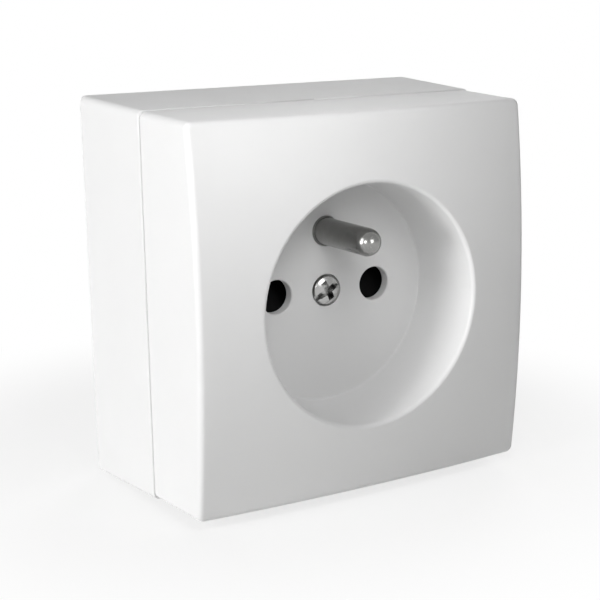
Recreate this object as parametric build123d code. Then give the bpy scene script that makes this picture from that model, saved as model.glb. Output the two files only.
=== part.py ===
from build123d import *
from math import atan, degrees, sqrt
import os

# Surface mounted wall socket with two pin holes and a projecting earth pin.
# Millimetres. X runs right as seen from the front, Y runs into the wall and Z runs up.
# The origin is the centre of the face that lies on the wall, so the socket's front looks along -Y.

# Back box, measured at its open side
box_width = 62.8
box_height = 62.8
box_depth = 21.0
box_flare = 1.05
box_wall = 1.85
box_back = 2.0
box_corner_radius = 1.1
box_inner_radius = 1.5
box_back_edge_radius = 0.6
box_rim_edge_radius = 0.3

# Front cover
cover_step = 0.2
cover_depth = 18.0
cover_draft = 0.65
cover_bulge_up = 2.0
cover_bulge_across = 1.3
cover_wall = 2.0
cover_corner_radius = 1.2
cover_inner_radius = 1.5
cover_front_radius = 0.9
fillet_margin = 0.1
shadow_gap_width = 0.2
shadow_gap_depth = 0.3
lip_wall = 1.2
lip_depth = 2.8
lip_root = 3.0
lip_clearance = 0.15

# Well
well_depth = 15.0
well_floor_radius = 18.8
well_mouth_radius = 19.5
well_floor_fillet = 0.2
well_rim_radius = 0.6
well_wall = 1.8
well_floor_thickness = 1.8

# Holes for the plug, and the earth pin
pin_spacing = 19.0
pin_hole_radius = 2.85
pin_hole_edge = 0.15
earth_offset = 10.0
earth_radius = 2.25
earth_length = 14.6
earth_tip_radius = 2.2
earth_root_radius = 2.45
earth_root_height = 0.2
earth_hole_clearance = 0.1
earth_collar_radius = 3.6
earth_collar_thickness = 1.4
earth_tail_radius = 1.6
earth_rivet_radius = 2.8
earth_rivet_thickness = 0.6

# Shutter and its guide
shutter_travel = 5.8
shutter_thickness = 4.8
shutter_clearance = 0.2
shutter_stop_gap = 0.3
wing_top = 3.2
wing_bottom = 4.4
wing_reach = 4.3
ramp_edge = 1.0
ramp_start = 3.0
bridge_half_width = 6.0
bridge_height = 3.5
spring_peg_radius = 0.9
spring_peg_length = 1.5
spring_radius = 1.3
spring_wire_radius = 0.2
spring_turns = 9
spring_room = 4.7
spring_channel_clearance = 0.9
spring_seat_gap = 0.05

# Insulating mouldings of the mechanism
mechanism_width = 43.0
mechanism_top = 24.0
mechanism_bottom = 21.0
mechanism_corner_radius = 2.0
guide_floor_thickness = 1.4
base_gap = 1.0
base_floor_thickness = 2.2
pocket_clearance = 0.2
boss_radius = 3.2
boss_slot_clearance = 0.5
plug_passage_radius = 2.6
earth_passage_clearance = 0.1

# Contacts
sheet = 0.8
bend_radius = 0.7
leaf_gap = 5.0
leaf_pinch = 0.45
leaf_flare = 0.9
leaf_tip_depth = 0.8
leaf_flare_depth = 2.2
leaf_pinch_depth = 2.6
leaf_height = 6.0
tab_depth = 2.4
tab_size = 7.0
terminal_offset_x = 12.5
terminal_offset_z = 16.0
contact_clip_thickness = 0.5
contact_clip_width = 2.6
contact_clip_gap = 2.0
contact_clip_lift = 1.0
clip_room = 0.35

# Earth strap
earth_strap_width = 7.6
earth_strap_margin = 3.8
earth_terminal_z = 18.0

# Terminal screws and clamp plates
terminal_head_radius = 3.1
terminal_head_height = 2.2
terminal_thread_radius = 1.75
terminal_screw_length = 6.0
terminal_screw_turn = 20.0
clamp_plate_size = 7.0
clamp_plate_thickness = 0.8
clamp_plate_corner = 0.8
clamp_hole_clearance = 0.15
screw_tip_room = 0.5
terminal_window_room = 0.9

# Cover screw, its nut and its retaining ring
cover_screw_head_radius = 2.45
cover_screw_rim_height = 1.1
cover_screw_head_height = 1.6
cover_screw_dome_edge = 0.3
cover_screw_radius = 1.5
cover_screw_tip_room = 1.0
cover_screw_seat_depth = 0.9
cover_screw_head_clearance = 0.3
cover_screw_hole_clearance = 0.3
cover_screw_turn = 29.0
nut_width = 5.5
nut_thickness = 2.4
nut_clearance = 0.1
retainer_radius = 2.6
retainer_thickness = 0.8
retainer_clearance = 0.1

# Slots and crosses in the screw heads
slot_width = 0.9
slot_depth = 0.95
cross_arm_width = 1.1
cross_arm_span = 3.4
cross_depth = 1.4

# Mechanism screws and the posts that take them
mechanism_screw_x = 16.8
mechanism_screw_z = 14.0
mechanism_screw_head_radius = 2.9
mechanism_screw_head_height = 2.2
mechanism_screw_head_gap = 0.4
mechanism_screw_clearance = 0.3
mechanism_screw_tip_gap = 1.6
mechanism_screw_turn = 35.0
post_radius = 3.2
post_height = 7.0
post_clearance = 0.2
rest_pad_radius = 2.0
rest_pad_x = 10.0
rest_pad_z = 18.5

# Wall fixing slots, cable entry and knock-outs in the back box
wall_slot_width = 4.4
wall_slot_length = 8.0
wall_slot_edge_gap = 0.3
entry_width = 19.0
entry_height = 8.0
entry_edge_gap = 1.3
knockout_width = 14.0
knockout_length = 11.0
knockout_wall = 0.8
knockout_front_gap = 1.0
back_knockout_radius = 8.0
back_knockout_z = 15.0
back_groove_width = 0.7
back_groove_depth = 0.5

# Planes across the socket, from the wall to the front
y_wall = 0.0
y_box_floor = y_wall - box_back
y_joint = y_wall - box_depth
y_front = y_joint - cover_depth
y_floor = y_front + well_depth
y_floor_back = y_floor + well_floor_thickness
y_shutter_front = y_floor_back + shutter_clearance
y_shutter_back = y_shutter_front + shutter_thickness
y_guide_floor = y_shutter_back + shutter_clearance
y_base_front = y_guide_floor + guide_floor_thickness
y_base_back = y_box_floor - base_gap
y_pocket_floor = y_base_back - base_floor_thickness
y_post_front = y_box_floor - post_height
y_tab_front = y_base_front + tab_depth
y_tab_back = y_tab_front + sheet
y_earth_strap_front = y_base_front + earth_collar_thickness
y_earth_strap_back = y_earth_strap_front + sheet

# Sizes that follow
pin_x = pin_spacing / 2
cover_width = box_width - 2 * cover_step
cover_height = box_height - 2 * cover_step
front_half_width = cover_width / 2 - cover_draft
front_half_height = cover_height / 2 - cover_draft
bulge_up_radius = (front_half_height**2 + cover_bulge_up**2) / (2 * cover_bulge_up)
bulge_across_radius = (front_half_width**2 + cover_bulge_across**2) / (2 * cover_bulge_across)
bulge_across_angle = degrees(atan(box_width / bulge_across_radius))
cover_taper = degrees(atan(cover_draft / cover_depth))
box_taper = degrees(atan(box_flare / box_depth))
cavity_width = box_width - 2 * box_wall
cavity_height = box_height - 2 * box_wall
front_edge_radius = min(cover_front_radius, cover_corner_radius - fillet_margin)
wing_outer = pin_x + wing_reach
wing_inner = boss_radius + boss_slot_clearance
guide_top = wing_top + shutter_stop_gap
guide_bottom = wing_bottom + shutter_travel + shutter_clearance
bridge_top = wing_inner
bridge_bottom = bridge_top + bridge_height
bridge_guide_bottom = bridge_bottom + shutter_travel + shutter_stop_gap
spring_seat_z = bridge_guide_bottom + spring_room
spring_y = (y_floor_back + y_guide_floor) / 2
leaf_x = leaf_gap / 2 + sheet / 2
contact_half_width = leaf_x + sheet / 2
clip_half_width = contact_half_width + contact_clip_thickness
riser_z = terminal_offset_z - tab_size / 2 - sheet / 2
wall_slot_x = cavity_width / 2 - wall_slot_edge_gap - wall_slot_length / 2
entry_z = -(cavity_height / 2 - entry_edge_gap - entry_height / 2)


def block(x, y, z):
    """A block between the low and high limits on each axis."""
    size = (x[1] - x[0], y[1] - y[0], z[1] - z[0])
    centre = ((x[0] + x[1]) / 2, (y[0] + y[1]) / 2, (z[0] + z[1]) / 2)
    return Pos(*centre) * Box(*size)


def rod(radius, y_low, y_high, x=0.0, z=0.0):
    """A round bar along Y between two planes."""
    return Pos(x, (y_low + y_high) / 2, z) * Rot(90, 0, 0) * Cylinder(radius, y_high - y_low)


def prism(outline, y_back, y_low, taper=0.0):
    """A flat outline in X and Z, extruded from its back plane towards the front."""
    return extrude(Plane.XZ.offset(-y_back) * outline, amount=y_back - y_low, taper=taper)


def drafted_block(width, height, y_back, y_low, taper, corner_radius):
    """A rectangle extruded with draft on its four sides, its long edges rounded alike from end to end."""
    body = prism(Rectangle(width, height), y_back, y_low, taper)
    middle = (y_back + y_low) / 2
    near_middle = (y_back - y_low) / 4
    long_edges = body.edges().filter_by_position(Axis.Y, middle - near_middle, middle + near_middle)
    return fillet(long_edges, corner_radius)


def bulged_block(inset):
    """Everything behind the front surface, which bulges both ways, moved back by an inset."""
    radius = bulge_up_radius - inset
    half = box_height / 2
    y_apex = y_front + inset
    y_edge = y_apex + radius - sqrt(radius**2 - half**2)
    crown = ThreePointArc((y_edge, -half), (y_apex, 0), (y_edge, half))
    back = Polyline((y_edge, half), (y_wall, half), (y_wall, -half), (y_edge, -half))
    section = Plane.YZ * make_face([crown, back])
    turning_axis = Axis((0, y_front + bulge_across_radius, 0), (0, 0, 1))
    start = section.rotate(turning_axis, -bulge_across_angle)
    return revolve(start, axis=turning_axis, revolution_arc=2 * bulge_across_angle)


def drive_recess(y_top, turn, head_radius, x=0.0, z=0.0):
    """The combined slot and cross that is cut in a screw head."""
    half_slot = slot_width / 2
    slot = block((-head_radius, head_radius), (y_top, y_top + slot_depth), (-half_slot, half_slot))
    span = cross_arm_span / 2
    arm = cross_arm_width / 2
    cross_a = block((-span, span), (y_top, y_top + cross_depth), (-arm, arm))
    cross_b = block((-arm, arm), (y_top, y_top + cross_depth), (-span, span))
    return Pos(x, 0, z) * Rot(0, -turn, 0) * (slot + cross_a + cross_b)


def make_back_box():
    """Square box that is screwed to the wall and carries everything else."""
    wall_width = box_width + 2 * box_flare
    wall_height = box_height + 2 * box_flare
    body = drafted_block(wall_width, wall_height, y_wall, y_joint, box_taper, box_corner_radius)
    back_face = body.faces().sort_by(Axis.Y)[-1]
    body = fillet(back_face.edges(), box_back_edge_radius)
    rim_face = body.faces().sort_by(Axis.Y)[0]
    body = fillet(rim_face.edges(), box_rim_edge_radius)
    body -= prism(RectangleRounded(cavity_width, cavity_height, box_inner_radius), y_box_floor, y_joint)

    for side in (-1, 1):
        x = side * mechanism_screw_x
        body += rod(post_radius, y_post_front, y_box_floor, x, mechanism_screw_z)
        body -= rod(cover_screw_radius, y_post_front, y_box_floor, x, mechanism_screw_z)
        body += rod(rest_pad_radius, y_base_back, y_box_floor, side * rest_pad_x, -rest_pad_z)
        slot = Pos(side * wall_slot_x, 0) * SlotOverall(wall_slot_length, wall_slot_width)
        body -= prism(slot, y_wall, y_box_floor)

    entry = Pos(0, entry_z) * SlotOverall(entry_width, entry_height)
    body -= prism(entry, y_wall, y_box_floor)

    ring = Circle(back_knockout_radius) - Circle(back_knockout_radius - back_groove_width)
    body -= prism(Pos(0, back_knockout_z) * ring, y_wall, y_wall - back_groove_depth)

    y_knockout_front = y_joint + lip_depth + knockout_front_gap
    for side in (-1, 1):
        near = side * cavity_height / 2
        far = side * (box_height / 2 - knockout_wall)
        body -= block(
            (-knockout_width / 2, knockout_width / 2),
            (y_knockout_front, y_knockout_front + knockout_length),
            (min(near, far), max(near, far)),
        )
    return body


def well_face(offset, y_bottom, y_top):
    """Half section of the well, widened by an offset, from its floor to a plane in front."""
    slope = (well_mouth_radius - well_floor_radius) / well_depth
    floor_radius = well_floor_radius + offset
    top_radius = floor_radius + slope * (y_bottom - y_top)
    outline = Polyline((0, y_bottom), (floor_radius, y_bottom), (top_radius, y_top), (0, y_top), close=True)
    face = make_face(outline)
    corner = face.vertices().sort_by(Axis.Y)[-2:].sort_by(Axis.X)[-1]
    return fillet(corner, well_floor_fillet)


def make_front_cover():
    """Cover with the bulged front, the well, its floor and the lip that fits in the box."""
    y_ahead = y_front - cover_bulge_up
    body = drafted_block(cover_width, cover_height, y_joint, y_ahead, cover_taper, cover_corner_radius)
    body &= bulged_block(0)
    front_face = body.faces().sort_by(Axis.Y)[0]
    body = fillet(front_face.edges(), front_edge_radius)

    inner = RectangleRounded(cover_width - 2 * cover_wall, cover_height - 2 * cover_wall, cover_inner_radius)
    cavity = prism(inner, y_joint, y_front, cover_taper) & bulged_block(cover_wall)
    cavity -= revolve(well_face(well_wall, y_floor_back, y_ahead), axis=Axis.Y)
    body -= cavity

    lip_width = cavity_width - 2 * lip_clearance
    lip_height = cavity_height - 2 * lip_clearance
    lip = RectangleRounded(lip_width, lip_height, box_inner_radius)
    lip -= RectangleRounded(lip_width - 2 * lip_wall, lip_height - 2 * lip_wall, box_inner_radius)
    body += prism(lip, y_joint + lip_depth, y_joint - lip_root)

    band = prism(Rectangle(box_width, box_height), y_joint, y_joint - shadow_gap_width)
    kept_width = cover_width - 2 * shadow_gap_depth
    kept_height = cover_height - 2 * shadow_gap_depth
    kept = RectangleRounded(kept_width, kept_height, cover_corner_radius)
    body -= band - prism(kept, y_joint, y_joint - shadow_gap_width)

    body -= revolve(well_face(0, y_floor, y_ahead), axis=Axis.Y)
    front_face = body.faces().sort_by(Axis.Y)[0]
    body = fillet(front_face.inner_wires()[0].edges(), well_rim_radius)

    for side in (-1, 1):
        body -= rod(pin_hole_radius, y_floor, y_floor_back, side * pin_x)
        countersink = Cone(pin_hole_radius, pin_hole_radius + pin_hole_edge, pin_hole_edge)
        body -= Pos(side * pin_x, y_floor + pin_hole_edge / 2, 0) * Rot(90, 0, 0) * countersink
    body -= rod(earth_root_radius + earth_hole_clearance, y_floor, y_floor_back, 0, earth_offset)
    body -= rod(cover_screw_radius + cover_screw_hole_clearance, y_floor, y_floor_back)
    seat_radius = cover_screw_head_radius + cover_screw_head_clearance
    body -= rod(seat_radius, y_floor, y_floor + cover_screw_seat_depth)
    return body


def make_cover_screw():
    """Pan head screw with a low dome and a combined drive, down to its nut."""
    y_seat = y_floor + cover_screw_seat_depth
    y_top = y_seat - cover_screw_head_height
    y_tip = y_base_front + nut_thickness + cover_screw_tip_room
    dome_height = cover_screw_head_height - cover_screw_rim_height
    dome_radius = (cover_screw_head_radius**2 + dome_height**2) / (2 * dome_height)
    rim = (cover_screw_head_radius, y_top + dome_height)
    x_middle = cover_screw_head_radius / 2
    y_middle = y_top + dome_radius - sqrt(dome_radius**2 - x_middle**2)
    dome = ThreePointArc((0, y_top), (x_middle, y_middle), rim)
    sides = Polyline(rim, (cover_screw_head_radius, y_seat), (0, y_seat), (0, y_top))
    section = make_face([dome, sides])
    corner = section.vertices().sort_by(Axis.X)[-2:].sort_by(Axis.Y)[0]
    head = revolve(fillet(corner, cover_screw_dome_edge), axis=Axis.Y)
    screw = head + rod(cover_screw_radius, y_seat, y_tip)
    return screw - drive_recess(y_top, cover_screw_turn, cover_screw_head_radius)


def make_screw_retainer():
    """Ring that keeps the cover screw in the cover."""
    ring = rod(retainer_radius, y_floor_back, y_floor_back + retainer_thickness)
    return ring - rod(cover_screw_radius, y_floor_back, y_floor_back + retainer_thickness)


def make_cover_nut():
    """Square nut that lies in the mechanism base behind the contact cover."""
    half = nut_width / 2
    nut = block((-half, half), (y_base_front, y_base_front + nut_thickness), (-half, half))
    return nut - rod(cover_screw_radius, y_base_front, y_base_front + nut_thickness)


def mechanism_prism(y_back, y_low):
    """The outline that the two insulating mouldings share."""
    height = mechanism_top + mechanism_bottom
    outline = Pos(0, (mechanism_top - mechanism_bottom) / 2) * RectangleRounded(
        mechanism_width, height, mechanism_corner_radius
    )
    return prism(outline, y_back, y_low)


def terminal_window(y_low, y_high):
    """The open way to the three terminals, from the edges of a moulding."""
    half = clamp_plate_size / 2 + terminal_window_room
    way = block((-half, half), (y_low, y_high), (earth_terminal_z - half, mechanism_top))
    for side in (-1, 1):
        x = side * terminal_offset_x
        way += block((x - half, x + half), (y_low, y_high), (-mechanism_bottom, half - terminal_offset_z))
    return way


def make_contact_cover():
    """Moulding behind the well's floor: shutter guide in front, cover of the contact pockets behind."""
    body = mechanism_prism(y_base_front, y_floor_back)
    guide = block(
        (-wing_outer - shutter_clearance, wing_outer + shutter_clearance),
        (y_floor_back, y_guide_floor),
        (-guide_bottom, guide_top),
    )
    bridge_room = bridge_half_width + shutter_clearance
    guide += block((-bridge_room, bridge_room), (y_floor_back, y_guide_floor), (-bridge_guide_bottom, 0))
    channel = spring_radius + spring_channel_clearance
    guide += block((-channel, channel), (y_floor_back, y_guide_floor), (-spring_seat_z, 0))
    guide -= rod(boss_radius, y_floor_back, y_guide_floor)
    body -= guide
    body -= terminal_window(y_floor_back, y_base_front)

    for side in (-1, 1):
        body -= rod(plug_passage_radius, y_guide_floor, y_base_front, side * pin_x)
        x = side * mechanism_screw_x
        y_head = y_floor_back + mechanism_screw_head_gap + mechanism_screw_head_height
        head_room = mechanism_screw_head_radius + mechanism_screw_clearance
        body -= rod(head_room, y_floor_back, y_head, x, mechanism_screw_z)
        screw_room = cover_screw_radius + mechanism_screw_clearance
        body -= rod(screw_room, y_head, y_base_front, x, mechanism_screw_z)
    body -= rod(earth_root_radius + earth_passage_clearance, y_floor_back, y_base_front, 0, earth_offset)
    body -= rod(cover_screw_radius + cover_screw_hole_clearance, y_floor_back, y_base_front)
    y_retainer = y_floor_back + retainer_thickness + retainer_clearance
    body -= rod(retainer_radius + retainer_clearance, y_floor_back, y_retainer)
    return body


def make_mechanism_base():
    """Moulding with the pockets for the contacts, the nut, the earth strap and the terminals."""
    body = mechanism_prism(y_base_back, y_base_front)
    strap_half = contact_half_width + pocket_clearance
    clip_x = clip_half_width + clip_room
    clip_z = leaf_height / 2 + contact_clip_thickness + clip_room
    plate_half = tab_size / 2 + pocket_clearance
    y_tip = y_tab_front - clamp_plate_thickness + terminal_screw_length + screw_tip_room
    for side in (-1, 1):
        x = side * pin_x
        body -= block((x - clip_x, x + clip_x), (y_base_front, y_pocket_floor), (-clip_z, clip_z))
        riser_low = -riser_z - bend_radius - pocket_clearance
        body -= block((x - strap_half, x + strap_half), (y_base_front, y_pocket_floor), (riser_low, 0))
        t = side * terminal_offset_x
        inner = side * (pin_x - strap_half)
        outer = side * (terminal_offset_x + plate_half)
        riser_high = -riser_z + sheet / 2 + bend_radius
        riser_span = (min(inner, outer), max(inner, outer))
        body -= block(riser_span, (y_base_front, y_pocket_floor), (riser_low, riser_high))
        body -= block(
            (t - plate_half, t + plate_half),
            (y_base_front, y_tab_back),
            (-mechanism_bottom, riser_high),
        )
        body -= rod(terminal_thread_radius + screw_tip_room, y_tab_back, y_tip, t, -terminal_offset_z)
        x = side * mechanism_screw_x
        screw_room = cover_screw_radius + mechanism_screw_clearance
        body -= rod(screw_room, y_base_front, y_base_back, x, mechanism_screw_z)
        body -= rod(post_radius + post_clearance, y_post_front, y_base_back, x, mechanism_screw_z)

    nut_half = nut_width / 2 + nut_clearance
    body -= block((-nut_half, nut_half), (y_base_front, y_base_front + nut_thickness), (-nut_half, nut_half))
    y_screw_room = y_base_front + nut_thickness + cover_screw_tip_room + screw_tip_room
    body -= rod(cover_screw_radius + cover_screw_hole_clearance, y_base_front, y_screw_room)

    strap = earth_strap_width / 2 + pocket_clearance
    strap_low = earth_offset - earth_strap_margin - pocket_clearance
    body -= block((-strap, strap), (y_base_front, y_earth_strap_back), (strap_low, mechanism_top))
    y_rivet = y_earth_strap_back + earth_rivet_thickness
    body -= rod(earth_rivet_radius + pocket_clearance, y_earth_strap_back, y_rivet, 0, earth_offset)
    y_earth_tip = y_earth_strap_front - clamp_plate_thickness + terminal_screw_length + screw_tip_room
    body -= rod(
        terminal_thread_radius + screw_tip_room, y_earth_strap_back, y_earth_tip, 0, earth_terminal_z
    )
    return body


def make_shutter():
    """Slider with a ramp behind each pin hole and a bridge below the middle boss."""
    ramp = Polyline(
        (y_shutter_back, wing_top),
        (y_shutter_back - ramp_edge, wing_top),
        (y_shutter_front, -ramp_start),
        (y_shutter_front, -wing_bottom),
        (y_shutter_back, -wing_bottom),
        close=True,
    )
    width = wing_outer - wing_inner
    wing = extrude(Plane.YZ * make_face(ramp), amount=width)
    body = block(
        (-bridge_half_width, bridge_half_width),
        (y_shutter_front, y_shutter_back),
        (-bridge_bottom, -bridge_top),
    )
    body += Pos(wing_inner, 0, 0) * wing
    body += Pos(-wing_outer, 0, 0) * wing
    peg = Cylinder(spring_peg_radius, spring_peg_length)
    body += Pos(0, spring_y, -bridge_bottom - spring_peg_length / 2) * peg
    return body


def make_shutter_spring():
    """Compression spring below the shutter, standing on the guide's lower end."""
    gap = spring_wire_radius + spring_seat_gap
    low = -spring_seat_z + gap
    high = -bridge_bottom - gap
    path = Helix(pitch=(high - low) / spring_turns, height=high - low, radius=spring_radius)
    wire = Plane(origin=path @ 0, z_dir=path % 0) * Circle(spring_wire_radius)
    return Pos(0, spring_y, low) * sweep(wire, path=path, is_frenet=True)


def make_contact(side):
    """Bent sheet contact: two spring leaves, a strap and a terminal tab."""
    y_strap = y_pocket_floor - sheet / 2
    y_tab = y_tab_front + sheet / 2
    tab_end = -terminal_offset_z - tab_size / 2
    path = FilletPolyline(
        (y_strap, leaf_height / 2),
        (y_strap, -riser_z),
        (y_tab, -riser_z),
        (y_tab, tab_end),
        radius=bend_radius,
    )
    sheet_run = extrude(Plane.YZ * trace(path, line_width=sheet), amount=box_width, both=True)
    tab_x = side * terminal_offset_x
    strap_x = side * pin_x
    inner = strap_x - side * contact_half_width
    outer = tab_x + side * tab_size / 2
    low_x, high_x = min(inner, outer), max(inner, outer)
    bend_low = -riser_z - sheet / 2
    bend_high = -riser_z + sheet / 2 + bend_radius
    strap_span = (strap_x - contact_half_width, strap_x + contact_half_width)
    tab_span = (tab_x - tab_size / 2, tab_x + tab_size / 2)
    depth_span = (y_joint, y_wall)
    blank = block(strap_span, depth_span, (bend_low, leaf_height / 2))
    blank += block((low_x, high_x), depth_span, (bend_low, bend_high))
    blank += block(tab_span, depth_span, (tab_end, bend_high))
    contact = sheet_run & blank
    contact -= rod(terminal_thread_radius, y_tab_front, y_tab_back, tab_x, -terminal_offset_z)

    y_leaf_tip = y_base_front + leaf_tip_depth
    y_leaf_pinch = y_leaf_tip + leaf_flare_depth
    y_leaf_bend = y_leaf_pinch + leaf_pinch_depth
    pinch_x = leaf_x - leaf_pinch
    flare_x = pinch_x + leaf_flare
    leaves = FilletPolyline(
        (-flare_x, y_leaf_tip),
        (-pinch_x, y_leaf_pinch),
        (-leaf_x, y_leaf_bend),
        (-leaf_x, y_strap),
        (leaf_x, y_strap),
        (leaf_x, y_leaf_bend),
        (pinch_x, y_leaf_pinch),
        (flare_x, y_leaf_tip),
        radius=bend_radius,
    )
    clip = extrude(trace(leaves, line_width=sheet), amount=leaf_height / 2, both=True)
    return contact + Pos(strap_x, 0, 0) * clip


def make_contact_spring(side):
    """Steel clip that presses the two leaves of a contact together."""
    y_low = y_pocket_floor - sheet - contact_clip_lift - contact_clip_width
    y_high = y_low + contact_clip_width
    x = side * pin_x
    half_z = leaf_height / 2
    outer_z = half_z + contact_clip_thickness
    ring = block((x - clip_half_width, x + clip_half_width), (y_low, y_high), (-outer_z, outer_z))
    ring -= block((x - contact_half_width, x + contact_half_width), (y_low, y_high), (-half_z, half_z))
    opening = contact_clip_gap / 2
    return ring - block((x - opening, x + opening), (y_low, y_high), (half_z, outer_z))


def make_earth_pin():
    """Earth pin with a domed tip, a wider root, a collar under the contact cover and a riveted tail."""
    shaft = rod(earth_radius, y_floor - earth_length, y_earth_strap_front, 0, earth_offset)
    shaft = fillet(shaft.edges().sort_by(Axis.Y)[0], earth_tip_radius)
    root = rod(earth_root_radius, y_floor - earth_root_height, y_earth_strap_front, 0, earth_offset)
    root = chamfer(root.edges().sort_by(Axis.Y)[0], earth_root_radius - earth_radius)
    collar = rod(earth_collar_radius, y_base_front, y_earth_strap_front, 0, earth_offset)
    tail = rod(earth_tail_radius, y_earth_strap_front, y_earth_strap_back, 0, earth_offset)
    rivet = rod(
        earth_rivet_radius, y_earth_strap_back, y_earth_strap_back + earth_rivet_thickness, 0, earth_offset
    )
    return shaft + root + collar + tail + rivet


def make_earth_strap():
    """Flat strap from the earth pin's tail up to the earth terminal."""
    half = earth_strap_width / 2
    low = earth_offset - earth_strap_margin
    high = earth_terminal_z + half
    strap = block((-half, half), (y_earth_strap_front, y_earth_strap_back), (low, high))
    strap -= rod(earth_tail_radius, y_earth_strap_front, y_earth_strap_back, 0, earth_offset)
    return strap - rod(terminal_thread_radius, y_earth_strap_front, y_earth_strap_back, 0, earth_terminal_z)


def terminal_places():
    """Name, X, Z and sheet front of each of the three terminals."""
    return [
        ("left", -terminal_offset_x, -terminal_offset_z, y_tab_front),
        ("right", terminal_offset_x, -terminal_offset_z, y_tab_front),
        ("earth", 0.0, earth_terminal_z, y_earth_strap_front),
    ]


def make_clamp_plate(x, z, y_sheet):
    """Square plate between a terminal's sheet and its screw head."""
    outline = Pos(x, z) * RectangleRounded(clamp_plate_size, clamp_plate_size, clamp_plate_corner)
    y_plate_front = y_sheet - clamp_plate_thickness
    plate = prism(outline, y_sheet, y_plate_front)
    return plate - rod(terminal_thread_radius + clamp_hole_clearance, y_plate_front, y_sheet, x, z)


def make_screw(x, z, y_seat, head_radius, head_height, thread_radius, length, turn):
    """Cheese head screw with its seat on a plane and its tip towards the wall."""
    y_top = y_seat - head_height
    screw = rod(head_radius, y_top, y_seat, x, z) + rod(thread_radius, y_seat, y_seat + length, x, z)
    return screw - drive_recess(y_top, turn, head_radius, x, z)


def make_terminal_screws():
    """The three terminal screws, each turned its own way."""
    screws = []
    for number, (_, x, z, y_sheet) in enumerate(terminal_places()):
        y_seat = y_sheet - clamp_plate_thickness
        screws.append(
            make_screw(
                x,
                z,
                y_seat,
                terminal_head_radius,
                terminal_head_height,
                terminal_thread_radius,
                terminal_screw_length,
                terminal_screw_turn * (number + 1),
            )
        )
    return Compound(children=screws)


def make_mechanism_screws():
    """The two screws from the contact cover through the base into the box's posts."""
    y_seat = y_floor_back + mechanism_screw_head_gap + mechanism_screw_head_height
    y_tip = y_box_floor - mechanism_screw_tip_gap
    screws = []
    for side in (-1, 1):
        screws.append(
            make_screw(
                side * mechanism_screw_x,
                mechanism_screw_z,
                y_seat,
                mechanism_screw_head_radius,
                mechanism_screw_head_height,
                cover_screw_radius,
                y_tip - y_seat,
                mechanism_screw_turn * side,
            )
        )
    return Compound(children=screws)


def write(part, name):
    """Write one sub-part to its STEP file."""
    export_step(part, os.path.join("parts", name + ".step"))


os.makedirs("parts", exist_ok=True)
write(make_back_box(), "back_box")
write(make_front_cover(), "front_cover")
write(make_cover_screw(), "cover_screw")
write(make_screw_retainer(), "screw_retainer")
write(make_cover_nut(), "cover_nut")
write(make_contact_cover(), "contact_cover")
write(make_mechanism_base(), "mechanism_base")
write(make_shutter(), "shutter")
write(make_shutter_spring(), "shutter_spring")
for side_name, side_sign in (("left", -1), ("right", 1)):
    write(make_contact(side_sign), side_name + "_contact")
    write(make_contact_spring(side_sign), side_name + "_contact_spring")
for place_name, place_x, place_z, place_y in terminal_places():
    write(make_clamp_plate(place_x, place_z, place_y), place_name + "_clamp_plate")
write(make_earth_pin(), "earth_pin")
write(make_earth_strap(), "earth_strap")
write(make_terminal_screws(), "terminal_screws")
write(make_mechanism_screws(), "mechanism_screws")
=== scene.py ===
import math

import bpy
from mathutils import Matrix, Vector


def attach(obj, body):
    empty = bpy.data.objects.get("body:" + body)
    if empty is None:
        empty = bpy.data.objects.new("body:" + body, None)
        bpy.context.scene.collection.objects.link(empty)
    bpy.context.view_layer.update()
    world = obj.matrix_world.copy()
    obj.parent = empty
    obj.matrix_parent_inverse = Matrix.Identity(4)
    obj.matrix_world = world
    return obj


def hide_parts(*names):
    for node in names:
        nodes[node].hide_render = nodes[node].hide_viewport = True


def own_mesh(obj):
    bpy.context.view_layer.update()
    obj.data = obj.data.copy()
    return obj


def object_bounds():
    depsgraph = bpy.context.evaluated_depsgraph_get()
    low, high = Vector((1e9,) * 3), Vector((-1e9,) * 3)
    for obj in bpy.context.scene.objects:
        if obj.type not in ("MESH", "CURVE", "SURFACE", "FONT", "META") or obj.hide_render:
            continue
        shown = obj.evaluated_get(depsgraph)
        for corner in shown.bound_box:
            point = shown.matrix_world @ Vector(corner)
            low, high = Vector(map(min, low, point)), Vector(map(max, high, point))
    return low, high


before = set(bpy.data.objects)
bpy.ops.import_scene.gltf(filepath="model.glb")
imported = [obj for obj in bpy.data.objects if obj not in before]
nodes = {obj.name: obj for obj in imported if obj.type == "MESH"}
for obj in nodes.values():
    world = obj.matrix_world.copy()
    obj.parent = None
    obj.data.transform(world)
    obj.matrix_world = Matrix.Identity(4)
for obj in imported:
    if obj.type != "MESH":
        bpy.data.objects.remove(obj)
cad_low, cad_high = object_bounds()

# A surface mounted socket, dressed on its CAD model. Metres, Z up, the wall at Y = 0.
MM = 0.001
scene = bpy.context.scene


# Colours and shader nodes

def linear(hex_colour):
    """An sRGB hex colour as linear RGBA."""
    channels = []
    for place in (1, 3, 5):
        value = int(hex_colour[place:place + 2], 16) / 255
        channels.append(value / 12.92 if value <= 0.04045 else ((value + 0.055) / 1.055) ** 2.4)
    return (*channels, 1.0)


def add_node(tree, kind, links=None, **settings):
    """A node with its settings, and its inputs given as values or as other nodes' outputs."""
    node = tree.nodes.new(kind)
    for name, value in settings.items():
        setattr(node, name, value)
    for name, value in (links or {}).items():
        if isinstance(value, bpy.types.NodeSocket):
            tree.links.new(value, node.inputs[name])
        else:
            node.inputs[name].default_value = value
    return node


def noise(tree, where, scale, detail, roughness):
    """Noise from 0 to 1, with its scale in repeats per millimetre."""
    inputs = {"Vector": where, "Scale": scale, "Detail": detail, "Roughness": roughness}
    return add_node(tree, "ShaderNodeTexNoise", inputs).outputs["Fac"]


def mixed_colour(tree, share, first, second):
    """The first colour where share is 0, and the second where it is 1."""
    inputs = {"Factor": share, "A": first, "B": second}
    return add_node(tree, "ShaderNodeMix", inputs, data_type="RGBA").outputs["Result"]


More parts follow.
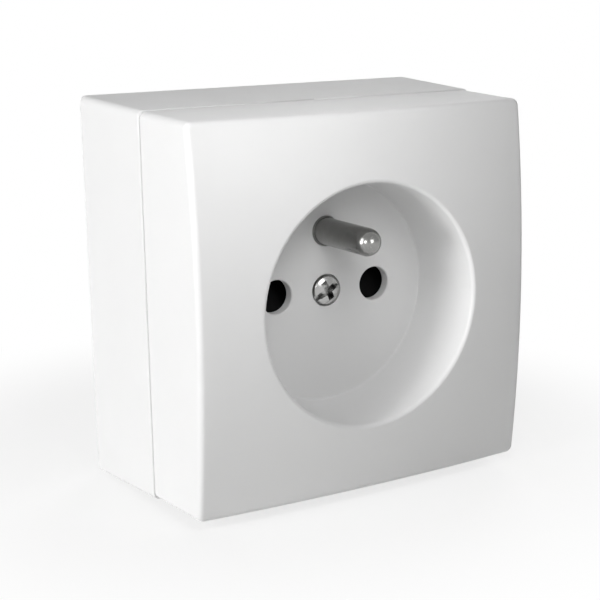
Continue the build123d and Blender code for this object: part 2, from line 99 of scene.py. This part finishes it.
def mapped(tree, value, source, result, **settings):
    """The value, moved from its source range to the result range."""
    inputs = {
        "Value": value,
        "From Min": source[0],
        "From Max": source[1],
        "To Min": result[0],
        "To Max": result[1],
    }
    return add_node(tree, "ShaderNodeMapRange", inputs, **settings).outputs["Result"]


def maths(tree, operation, first, second):
    """Two values combined by one operation."""
    return add_node(tree, "ShaderNodeMath", {0: first, 1: second}, operation=operation).outputs["Value"]


def bump(tree, height, height_mm):
    """A normal raised by a pattern of this height."""
    inputs = {"Height": height, "Strength": 1.0, "Distance": height_mm * MM}
    return add_node(tree, "ShaderNodeBump", inputs).outputs["Normal"]


def new_material(name):
    """An empty material with its output, its shader and its Object coordinates in millimetres."""
    material = bpy.data.materials.new(name)
    material.use_nodes = True
    tree = material.node_tree
    tree.nodes.clear()
    output = add_node(tree, "ShaderNodeOutputMaterial")
    shader = add_node(tree, "ShaderNodeBsdfPrincipled")
    tree.links.new(shader.outputs["BSDF"], output.inputs["Surface"])
    place = add_node(tree, "ShaderNodeTexCoord")
    to_millimetres = (1 / MM, 1 / MM, 1 / MM)
    inputs = {0: place.outputs["Object"], 1: to_millimetres}
    millimetres = add_node(tree, "ShaderNodeVectorMath", inputs, operation="MULTIPLY")
    return material, tree, output, shader, millimetres.outputs["Vector"]


def connect(tree, shader, colour, roughness, normal):
    """Feed a shader with its colour, roughness and normal."""
    tree.links.new(colour, shader.inputs["Base Color"])
    tree.links.new(roughness, shader.inputs["Roughness"])
    tree.links.new(normal, shader.inputs["Normal"])


# Materials

PLASTIC_IOR = 1.5


def moulded_plastic(name, colour, shade, roughness, grain_mm, grain_height_mm, cloud_mm, specular=0.5):
    """Injection moulded thermoplastic: spark-eroded grain, and a faint drift of tone from the flow."""
    material, tree, _, shader, millimetres = new_material(name)
    cloud = noise(tree, millimetres, 1 / cloud_mm, 3.0, 0.55)
    tone = mixed_colour(tree, cloud, linear(colour), linear(shade))
    gloss = mapped(tree, cloud, (0.3, 0.7), (roughness - 0.03, roughness + 0.03))
    grain = noise(tree, millimetres, 1 / grain_mm, 2.0, 0.6)
    connect(tree, shader, tone, gloss, bump(tree, grain, grain_height_mm))
    shader.inputs["IOR"].default_value = PLASTIC_IOR
    shader.inputs["Specular IOR Level"].default_value = specular
    return material


PATCHES_PER_MM = 0.45
# How far the painted shade in crevices reaches, and its dark grey.
CREVICE_REACH_MM = 1.0
CREVICE_SHADE_COLOUR = "#3A3A3A"


def plated_metal(name, colour, shade, roughness, mark_mm, mark_height_mm, stretch):
    """Drawn, turned or rolled metal: fine marks along the tool's path, patchy dulling, and painted shade that
    darkens the crevices.
    """
    material, tree, _, shader, millimetres = new_material(name)
    run = add_node(tree, "ShaderNodeVectorMath", {0: millimetres, 1: stretch}, operation="MULTIPLY")
    marks = noise(tree, run.outputs["Vector"], 1 / mark_mm, 3.0, 0.65)
    patches = noise(tree, millimetres, PATCHES_PER_MM, 4.0, 0.6)
    tone = mixed_colour(tree, patches, linear(colour), linear(shade))
    dulling = mapped(tree, marks, (0.25, 0.75), (roughness - 0.06, roughness + 0.08))
    # Painted shade: ambient occlusion darkens the colour in crevices and recesses towards a dark grey.
    openness = add_node(
        tree, "ShaderNodeAmbientOcclusion", {"Distance": CREVICE_REACH_MM * MM}, samples=16, only_local=True
    )
    unshaded_share = mapped(tree, openness.outputs["AO"], (0.35, 0.9), (0.0, 1.0))
    finish = mixed_colour(tree, unshaded_share, linear(CREVICE_SHADE_COLOUR), tone)
    connect(tree, shader, finish, dulling, bump(tree, marks, mark_height_mm))
    shader.inputs["Metallic"].default_value = 1.0
    return material


# White ABS with a fine satin grain: it scatters the light evenly and keeps a soft highlight at its edges.
cover_abs = moulded_plastic("cover_white_abs", "#E6E6E6", "#E2E2E2", 0.44, 0.16, 0.0035, 14.0, specular=0.35)
box_abs = moulded_plastic("box_white_abs", "#E5E5E5", "#E0E0E0", 0.46, 0.20, 0.0050, 18.0, specular=0.35)
# Glass filled polyamide of the mechanism: warm grey and matt, with a coarser flow pattern.
mechanism_polyamide = moulded_plastic(
    "mechanism_grey_polyamide", "#A9A69D", "#98958C", 0.55, 0.35, 0.0120, 7.0
)
# Black polypropylene shutter: nearly no light comes back out of the pin holes.
shutter_polypropylene = moulded_plastic(
    "shutter_black_polypropylene", "#040405", "#060607", 0.60, 0.25, 0.0050, 5.0, specular=0.12
)
# Natural nylon of the retaining ring: milky and slightly waxy.
ring_nylon = moulded_plastic("ring_natural_nylon", "#D3D0C4", "#C6C2B4", 0.45, 0.22, 0.0040, 4.0)

# Bright zinc plating on the screws, nut and clamp plates.
zinc_plate = plated_metal("bright_zinc_plate", "#B9B9B8", "#A2A2A1", 0.22, 0.14, 0.0020, (1.0, 0.35, 1.0))
# Nickel plated earth pin, turned on a lathe: satin, with faint marks that run round it.
nickel_plate = plated_metal("satin_nickel_plate", "#9C9C9A", "#888886", 0.22, 0.10, 0.0002, (0.12, 1.0, 0.12))
# Drawn spring wire and strip, oiled and darker than the plating.
spring_steel = plated_metal("oiled_spring_steel", "#77787A", "#626365", 0.34, 0.12, 0.0016, (1.0, 1.0, 0.3))
# Rolled brass sheet of the contacts, with marks along the rolling direction.
rolled_brass = plated_metal("rolled_brass", "#C9A765", "#B08F52", 0.32, 0.12, 0.0018, (1.0, 0.2, 0.2))

finishes = {
    "back_box": box_abs,
    "front_cover": cover_abs,
    "cover_screw": zinc_plate,
    "screw_retainer": ring_nylon,
    "cover_nut": zinc_plate,
    "contact_cover": mechanism_polyamide,
    "mechanism_base": mechanism_polyamide,
    "shutter": shutter_polypropylene,
    "shutter_spring": spring_steel,
    "left_contact": rolled_brass,
    "right_contact": rolled_brass,
    "left_contact_spring": spring_steel,
    "right_contact_spring": spring_steel,
    "left_clamp_plate": zinc_plate,
    "right_clamp_plate": zinc_plate,
    "earth_clamp_plate": zinc_plate,
    "earth_pin": nickel_plate,
    "earth_strap": rolled_brass,
    "terminal_screws": zinc_plate,
    "mechanism_screws": zinc_plate,
}
for name, finish in finishes.items():
    nodes[name].data.materials.clear()
    nodes[name].data.materials.append(finish)


# The shutter's coil spring, copied from the CAD spring as a piece of its own on the socket's body

MERGE_DISTANCE = 0.001 * MM
spring = bpy.data.objects.new("shutter_coil_spring", nodes["shutter_spring"].data.copy())
scene.collection.objects.link(spring)
bpy.ops.object.select_all(action="DESELECT")
spring.select_set(True)
bpy.context.view_layer.objects.active = spring
bpy.ops.object.mode_set(mode="EDIT")
bpy.ops.mesh.select_all(action="SELECT")
bpy.ops.mesh.remove_doubles(threshold=MERGE_DISTANCE)
bpy.ops.mesh.normals_make_consistent(inside=False)
bpy.ops.object.mode_set(mode="OBJECT")
bpy.ops.object.shade_smooth_by_angle(angle=math.radians(40))
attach(spring, "socket")
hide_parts("shutter_spring")
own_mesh(spring)


# Camera, where the photograph was taken from

camera = bpy.data.cameras.new("camera")
camera.lens = 83.13
camera.sensor_width = 36.0
camera.clip_start = 0.01
camera.clip_end = 20.0
camera_object = bpy.data.objects.new("camera", camera)
camera_object.location = (-0.11797, -0.21533, 0.05018)
camera_object.rotation_euler = (math.radians(77.019), math.radians(0.916), math.radians(-30.749))
scene.collection.objects.link(camera_object)
scene.camera = camera_object


# Floor and backdrop

WHITE = linear("#FFFFFF")


def backdrop_share(tree, mirrored):
    """The share of the backdrop a ray meets: all from the camera, a part when mirrored, none as light."""
    rays = add_node(tree, "ShaderNodeLightPath")
    reflection = maths(tree, "MULTIPLY", rays.outputs["Is Glossy Ray"], mirrored)
    direct = maths(tree, "MAXIMUM", rays.outputs["Is Camera Ray"], rays.outputs["Is Transmission Ray"])
    return maths(tree, "MAXIMUM", direct, reflection)


# The paper glows as white as the backdrop, but less near the socket, so that its soft shadow shows there.
FLOOR_SIZE = 6.0
bpy.ops.object.select_all(action="DESELECT")
bpy.ops.mesh.primitive_plane_add(size=FLOOR_SIZE, location=(0, 0, cad_low.z))
floor = bpy.context.object
floor.name = "floor"
floor_paint, tree, output, shader, millimetres = new_material("floor_white_paper")
shader.inputs["Base Color"].default_value = linear("#F4F4F3")
shader.inputs["Roughness"].default_value = 0.9
distance = add_node(tree, "ShaderNodeVectorMath", {0: millimetres}, operation="LENGTH")
spread = mapped(
    tree, distance.outputs["Value"], (40.0, 90.0), (0.75, 1.0), interpolation_type="SMOOTHSTEP"
)
glow_share = maths(tree, "MULTIPLY", backdrop_share(tree, 1.0), spread)
glow = add_node(tree, "ShaderNodeEmission", {"Color": WHITE, "Strength": 1.0})
inputs = {0: glow_share, 1: shader.outputs["BSDF"], 2: glow.outputs["Emission"]}
both = add_node(tree, "ShaderNodeMixShader", inputs)
tree.links.new(both.outputs["Shader"], output.inputs["Surface"])
floor.data.materials.append(floor_paint)

world = bpy.data.worlds.new("studio")
world.use_nodes = True
scene.world = world
tree = world.node_tree
tree.nodes.clear()
output = add_node(tree, "ShaderNodeOutputWorld")
# The backdrop behind the socket is mirrored in full, and the darker room behind the camera in part.
place = add_node(tree, "ShaderNodeTexCoord")
heading = add_node(tree, "ShaderNodeSeparateXYZ", {0: place.outputs["Generated"]})
mirrored = mapped(tree, heading.outputs["Y"], (-0.3, 0.3), (0.6, 1.0))
room = add_node(tree, "ShaderNodeBackground", {"Color": WHITE, "Strength": 0.045})
backdrop = add_node(tree, "ShaderNodeBackground", {"Color": WHITE, "Strength": 1.0})
inputs = {
    0: backdrop_share(tree, mirrored),
    1: room.outputs["Background"],
    2: backdrop.outputs["Background"],
}
mixed = add_node(tree, "ShaderNodeMixShader", inputs)
tree.links.new(mixed.outputs["Shader"], output.inputs["Surface"])


# Lamps

SOCKET_MIDDLE = Vector((0.0, -0.02, 0.0))


def softbox(name, place, width, watts, lights=True, shines=True):
    """A square area lamp that looks at the socket. It may be seen only as light or only as a reflection."""
    lamp = bpy.data.lights.new(name, "AREA")
    lamp.shape = "RECTANGLE"
    lamp.size = width
    lamp.size_y = width
    lamp.energy = watts
    lamp_object = bpy.data.objects.new(name, lamp)
    lamp_object.location = place
    direction = SOCKET_MIDDLE - Vector(place)
    lamp_object.rotation_euler = direction.to_track_quat("-Z", "Y").to_euler()
    lamp_object.visible_camera = False
    lamp_object.visible_diffuse = lights
    lamp_object.visible_glossy = shines
    scene.collection.objects.link(lamp_object)


softbox("side_softbox", (-0.841, -0.108, 0.308), 0.50, 3.95)
softbox("low_side_softbox", (-0.700, -0.130, 0.050), 0.15, 1.80)
softbox("key_softbox", (-0.038, -0.105, 0.058), 0.04, 0.027, shines=False)
softbox("upper_key_softbox", (-0.014, -0.097, 0.078), 0.04, 0.026, shines=False)
# These two are small highlights on the earth pin's tip and the screw.
softbox("left_glint", (-0.070, -0.105, 0.030), 0.028, 0.022, lights=False)
softbox("middle_glint", (0.016, -0.120, 0.028), 0.026, 0.018, lights=False)
softbox("rear_softbox", (0.500, 0.500, 0.120), 0.35, 5.5, shines=False)

scene.view_settings.view_transform = "Standard"
